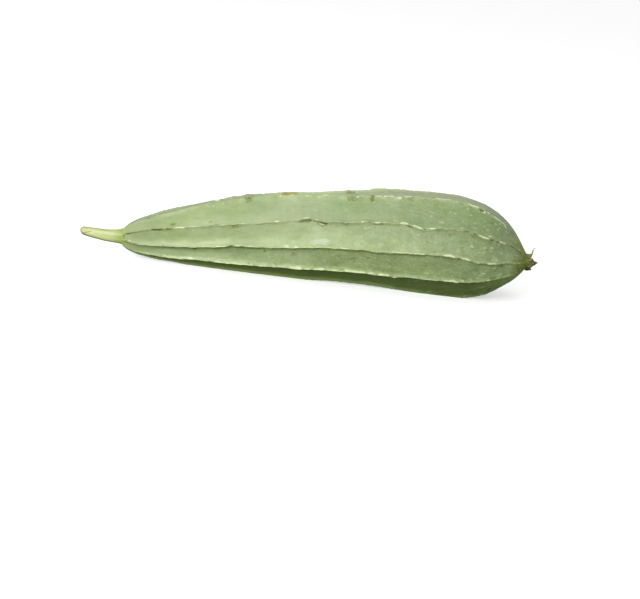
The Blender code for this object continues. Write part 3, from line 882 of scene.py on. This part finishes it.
def make_fruit():
    skin = skin_layout()
    marks = skin_marks(skin)
    station, angle = skin.station, skin.angle

    # Fine relief: crimps along the crests, pucker at the tip, and an uneven skin
    settle = ends_settle(station)
    beading = growth_waves(RIDGES, (0.0071, 0.0043, 0.0029), BEADING_SEED)(skin.nearest, station)
    left = FRUIT_LENGTH / MM - skin.mm
    pucker = bell(left, 11) * np.sin(angle * 31 + 2 * np.sin(skin.mm / 3))
    relief = settle * (BEADING * skin.rib_shape * beading + PUCKER * pucker)
    for name, height in RELIEF.items():
        relief = relief + height * marks[name]
    radius = skin.radius + MM * relief
    bow = SIDE_BOW * np.sin(math.pi * station / FRUIT_LENGTH)

    def place(radius):
        return laid(np.stack(np.broadcast_arrays(
            station,
            bow - radius * np.sin(angle),
            curve_through(ARCH, station) - radius * np.cos(angle),
        ), axis=-1))

    spots = place(radius)
    lumps = 0.10 * soft_noise(spots, 0.013, LUMP_SEED)
    lumps = lumps + 0.05 * soft_noise(spots, 0.0052, LUMP_SEED + 1)
    spots = place(radius + MM * settle * lumps)
    spots[..., 2] = np.maximum(spots[..., 2], 0)
    mesh = tube("fruit_skin", spots, {
        "station": skin.mm, "crest": np.abs(skin.above), **marks, **skin_tones_and_shading(skin),
    })
    return as_piece("fruit_skin", mesh, skin_material(), "fruit")


# The stem

STEM_OVERLAP = 1.2 * MM
STEM_START = 0.3 * MM
# Where the stem's end leans over and where its rim rounds off, as start and length, in mm
CUT_SLANT = math.radians(12)
SLANT_STRETCH = (22, 7)
ROUNDED_STRETCH = (27.2, 1.8)
ROUNDING = 0.9 * MM
# A crease that crosses the front: station, slope, half width and depth
CREASE_STATION = 22.5
CREASE_SLOPE = 5.2
CREASE_HALF_WIDTH = 0.7
CREASE_DEPTH = 0.35 * MM
# The cut end as rings inwards from its rim: share of the rim's size, and depth in mm
CUT_DISH = ((0.97, -0.05), (0.88, 0.15), (0.7, 0.3), (0.5, 0.35), (0.3, 0.25), (0.1, 0.2))


def make_stem():
    along = np.linspace(-STEM_OVERLAP, STEM_LENGTH, STEM_RINGS)
    reach = np.clip(along, 0, None) / STEM_LENGTH
    bend = reach**2
    middle = np.stack([-STEM_START - along, STEM_SWAY * bend, STEM_RISE * bend], axis=-1)
    angle = full_turn(STEM_SIDES)
    turned = angle + 0.35 * reach[:, None]
    flute = (1 - np.cos(STEM_RIBS * turned)) / 2
    groove = 1 - 0.09 * flute - 0.012 * np.cos(17 * turned + 1) - 0.01 * np.sin(29 * turned)
    radius = curve_through(STEM_RADIUS, np.clip(along, 0, None))[:, None] * groove
    mm = along[:, None] / MM
    radius = radius + MM * 0.10 * np.sin(mm / 3.1 + angle)
    start, length = ROUNDED_STRETCH
    radius = radius - ROUNDING * np.clip((mm - start) / length, 0, 1) ** 2

    crease_at = CREASE_STATION + CREASE_SLOPE * (angle - math.pi * 0.93)
    crease = bell(mm - crease_at, CREASE_HALF_WIDTH) * bell(angle - math.pi * 0.98, 0.55)
    radius = radius - CREASE_DEPTH * crease
    tangent, side, up = ring_axes(middle, (0, 1, 0))
    start, length = SLANT_STRETCH
    slant = math.tan(CUT_SLANT) * np.clip((mm - start) / length, 0, 1) ** 2
    ring = (
        middle[:, None] + side[:, None] * (radius * np.cos(angle))[..., None]
        + (up[:, None] + tangent[:, None] * slant[..., None]) * (radius * np.sin(angle))[..., None]
    )
    masks = {
        "along": reach[:, None],
        # Painted shade in the furrows and in the crease
        "groove": np.clip(flute * step_up(mm, 1, 8) * 0.45 + crease, 0, 1),
        "collar": 0.1 * bell(mm, 0.6),
        "cut": 0.0,
        # Painted shade along the top side
        "edge": 0.35 * step_up(np.sin(angle), 0.80, 0.98) * step_up(mm, 5, 12),
    }

    # The cut end: a rim, then a shallow dish of fibres
    rim = ring[-1]
    centre = rim.mean(axis=0)
    dish = [centre + (rim - centre) * share - tangent[-1] * sink * MM for share, sink in CUT_DISH]
    for key, values in masks.items():
        value = 1.0 if key in ("along", "cut") else 0.0
        ending = np.full((len(dish), STEM_SIDES), value)
        masks[key] = np.concatenate([np.broadcast_to(values, radius.shape), ending])
    mesh = tube("stem_stalk", laid(np.concatenate([ring, np.array(dish)])), masks)
    return as_piece("stem_stalk", mesh, stem_material(), "stem")


# The withered blossom

# Its remains as one bent, crumpled cone: distance past the fruit's tip and radius, in mm
REMAINS = [
    (-1.2, 4.9), (-0.5, 5.2), (0.4, 5.3), (1.3, 5.0), (2.2, 4.4), (3.0, 3.7), (3.8, 3.1), (4.8, 2.5),
    (5.8, 1.7), (6.8, 1.0), (7.8, 0.5), (8.7, 0.12),
]
REMAINS_FALL = 1.5
# Sepals pressed against it: turn from the top, where it starts and how far out, how far it
# stands off, length, width, how dark with painted shade, darkest on those below, and how lit
# at its edge with a painted highlight, brightest on those above
SEPALS = (
    (-14, 0.9, 4.3, -8, 2.8, 2.1, 0.1, 0.9), (48, 0.6, 4.4, -10, 3.2, 2.0, 0.2, 0.5),
    (-172, -0.6, 4.7, 10, 4.8, 2.7, 0.85, 0.1), (150, -0.6, 4.7, 4, 4.2, 2.4, 0.8, 0.0),
    (-112, 0.2, 4.6, -4, 3.6, 2.1, 0.35, 0.3), (100, 0.4, 4.6, -4, 3.4, 2.0, 0.45, 0.3),
)
SEPAL_DROOP = 0.12
SEPAL_CRUMPLE = 0.16 * MM
SEPAL_THICKNESS = 0.55 * MM
# Dry threads that curl up from the rim: radius, then points ahead, sideways and up from the
# tip, in mm
THREADS = (
    (0.90, ((0.9, -1.6, 3.2), (1.7, -1.7, 4.4), (2.6, -1.6, 4.9), (3.5, -1.4, 5.2), (3.9, -1.3, 6.3),
            (4.1, -1.2, 7.8), (4.8, -1.1, 9.2), (5.9, -1.0, 9.6))),
    (0.95, ((1.2, -1.3, 4.0), (1.9, -1.4, 4.7), (2.7, -1.4, 5.2), (3.4, -1.2, 5.0))),
)
TIP = np.array([FRUIT_LENGTH, 0, float(curve_through(ARCH, FRUIT_LENGTH))])


def heart(ahead):
    """The middle of the remains, this many mm past the tip."""
    ahead = np.asarray(ahead, float)
    fall = REMAINS_FALL * step_up(ahead, -0.8, 5.5)
    return TIP + MM * np.stack([ahead, 0.03 * ahead**2, -fall], -1)


def crumpled_cone():
    """The blossom's cup and petals, with lobed folds that deepen away from the fruit."""
    ahead = np.linspace(REMAINS[0][0], REMAINS[-1][0], CONE_RINGS)
    angle = full_turn(CONE_SIDES)
    mm = ahead[:, None]
    far = step_up(mm, 0.6, 5.0)
    fold = np.sin(5 * angle + 0.35 * mm + 0.8) + 0.7 * np.sin(8 * angle - 0.5 * mm)
    fold = fold + 0.5 * np.sin(13 * angle + 0.9 * mm + 2)
    girth = curve_through(REMAINS, mm * MM) * (1 + (0.015 + 0.085 * far) * fold)
    outward = np.stack([np.zeros_like(angle), -np.sin(angle), np.cos(angle)], -1)
    cone = heart(ahead)[:, None] + girth[..., None] * outward
    crumple = soft_noise(cone, 0.0032, CRUMPLE_SEED, 2)
    push = 0.22 * MM * crumple * (0.15 + 0.85 * far) * (girth > 0.6 * MM)
    cone = cone + push[..., None] * outward
    # Painted shade in the fold valleys and on the underside near the fruit, and a painted highlight
    # along the top of the rim
    creased = step_up(-fold, 0.6, 1.6) * (0.1 + 0.28 * far)
    rim = bell(mm - 2.4, 0.9) * step_up(np.cos(angle + 0.3), 0.5, 0.95)
    below = bell(mm - 0.6, 1.5) * step_up(-np.cos(angle - 0.1), 0.82, 0.97)
    return tube("cone", laid(cone), {
        "edge": 0.85 * rim * step_up(crumple, -0.6, 0.5),
        "painted_shade": np.maximum(creased, 0.9 * below),
        "fresh": 1 - step_up(mm, 2.2, 5.0),
    })


def thicken(mesh, thickness):
    holder = new_object("holder", mesh)
    solid = holder.modifiers.new("Thickness", "SOLIDIFY")
    solid.thickness = thickness
    solid.offset = 0
    bpy.context.view_layer.update()
    made = bpy.data.meshes.new_from_object(
        holder.evaluated_get(bpy.context.evaluated_depsgraph_get())
    )
    bpy.data.objects.remove(holder, do_unlink=True)
    return made


def pressed_sepal(rng, turn, start, out, stand, length, width, dark, lit):
    """A crumpled sepal on the cone's side, rolled across and curling along."""
    turn, stand = math.radians(turn), math.radians(stand)
    outward = np.array([0, -math.sin(turn), math.cos(turn)])
    forward = np.array([math.cos(SEPAL_DROOP), 0, -math.sin(SEPAL_DROOP)])
    heading = unit(forward * math.cos(stand) + outward * math.sin(stand))
    side = unit(np.cross(outward, forward))
    off = np.cross(side, heading)
    curl = rng.uniform(-0.08, 0.08, 3)
    wrinkles = rng.normal(size=(3, 2)) * 2.5
    t = np.linspace(0, 1, SEPAL_ROWS)[:, None]
    across = np.linspace(-1, 1, SEPAL_COLUMNS)[None, :]
    wide = width * MM * np.sin(math.pi * (0.22 + 0.75 * t)) ** 0.7
    roll = across * 1.1
    points = (
        heart(start) + outward * out * MM
        + length * MM * (heading * t[..., None] + curl * (t**2)[..., None])
        + side * (wide * np.sin(roll))[..., None]
        - off * (wide * 0.7 * (1 - np.cos(roll)))[..., None]
    )
    for n, (slow, quick) in enumerate(wrinkles):
        wave = np.sin(slow * 2 * t + quick * across * 1.6 + n * 2)
        points = points + off * (SEPAL_CRUMPLE * wave * (0.3 + t))[..., None]
    mesh = tube("sepal", laid(points), {
        # Painted highlight on the edges of the upper sepals, and painted shade on the lower ones
        "edge": lit * step_up(np.maximum(t, np.abs(across)), 0.45, 1.0),
        "painted_shade": dark * (1 - 0.5 * t),
        "fresh": 0.95 - 0.6 * t,
    }, wrap=False)
    return thicken(mesh, SEPAL_THICKNESS)


def dry_thread(radius, points):
    """A tapering thread that bends smoothly through the points."""
    knots = TIP + MM * np.array(points)
    along = np.linspace(0, 1, len(knots))
    t = np.linspace(0, 1, THREAD_RINGS)
    path = np.stack([follow(along, knots[:, k], t) for k in range(3)], -1)
    _, side, up = ring_axes(path, (0.2, 1.0, 0.1))
    angle = full_turn(THREAD_SIDES)[..., None]
    taper = radius * MM * (1 - 0.75 * t**1.5)
    ring = path[:, None] + taper[:, None, None] * (
        side[:, None] * np.cos(angle) + up[:, None] * np.sin(angle)
    )
    glow = np.clip(np.linspace(-0.4, 1.1, THREAD_RINGS), 0, 1)[:, None]
    return tube("thread", laid(ring), {"edge": glow, "painted_shade": 0.0, "fresh": 0.0})


def joined(name, meshes, keys):
    """One mesh made from several, with their masks. The single meshes are removed."""
    verts, faces = [], []
    kept = {key: [] for key in keys}
    for mesh in meshes:
        offset = len(verts)
        verts += [tuple(v.co) for v in mesh.vertices]
        faces += [[offset + i for i in face.vertices] for face in mesh.polygons]
        for key, values in kept.items():
            values += [v.value for v in mesh.attributes[key].data]
        bpy.data.meshes.remove(mesh)
    whole = bpy.data.meshes.new(name)
    whole.from_pydata(verts, [], faces)
    for key, values in kept.items():
        whole.attributes.new(key, "FLOAT", "POINT").data.foreach_set("value", values)
    whole.update()
    whole.shade_smooth()
    return whole


def make_blossom():
    rng = np.random.default_rng(SEPAL_SEED)
    meshes = [crumpled_cone()]
    meshes += [pressed_sepal(rng, *sepal) for sepal in SEPALS]
    meshes += [dry_thread(*strand) for strand in THREADS]
    whole = joined("blossom_remains", meshes, ("edge", "painted_shade", "fresh"))
    return as_piece("blossom_remains", whole, dry_material(), "dried_blossom")


# Floor, light and camera


def looking_in(target, azimuth, elevation, distance, roll=0):
    """The matrix of a lamp or camera that looks at a target from outside, angles in degrees."""
    return (
        Matrix.Translation(target)
        @ Matrix.Rotation(math.radians(azimuth), 4, "Z")
        @ Matrix.Rotation(math.radians(90 - elevation), 4, "X")
        @ Matrix.Rotation(math.radians(roll), 4, "Z")
        @ Matrix.Translation((0, 0, distance))
    )


def make_stage():
    """A white floor that looks bright to the camera and gives the gourd a dim, green bounce."""
    mesh = bpy.data.meshes.new("floor")
    corners = [(-1, -1), (1, -1), (1, 1), (-1, 1)]
    mesh.from_pydata([(x * FLOOR_HALF, y * FLOOR_HALF, 0) for x, y in corners], [], [(0, 1, 2, 3)])
    floor = new_object("floor", mesh)
    floor.location.z = -FLOOR_DROP
    m = Nodes("white_floor", 0.9, 0.1)
    seen = m.node("LightPath")
    m.give("Base Color", m.blend(seen, FLOOR_BOUNCE, FLOOR_SEEN))
    m.give("Emission Color", (1, 1, 1, 1))
    m.give("Emission Strength", m.times(seen, FLOOR_GLOW))
    mesh.materials.append(m.material)

    world = bpy.data.worlds.new("studio")
    bpy.context.scene.world = world
    world.use_nodes = True
    sky = world.node_tree.nodes["Background"].inputs
    sky["Color"].default_value = (1, 1, 1, 1)
    sky["Strength"].default_value = SKY_STRENGTH
    for name, (azimuth, elevation, distance, size, power) in LAMPS.items():
        light = bpy.data.lights.new(name, "AREA")
        light.shape = "DISK"
        light.size = size
        light.energy = power
        lamp = new_object(name, light)
        lamp.matrix_world = looking_in((0, 0, 0), azimuth, elevation, distance)


def make_camera():
    data = bpy.data.cameras.new("camera")
    data.sensor_fit = "HORIZONTAL"
    data.sensor_width = SENSOR_WIDTH
    data.lens = LENS
    data.clip_start = 0.05
    camera = new_object("camera", data)
    camera.matrix_world = looking_in(
        CAMERA_TARGET, 0, CAMERA_ELEVATION, CAMERA_DISTANCE, CAMERA_ROLL
    )
    bpy.context.scene.camera = camera
    bpy.context.scene.view_settings.view_transform = "Standard"


make_camera()
make_stage()
make_fruit()
make_stem()
make_blossom()
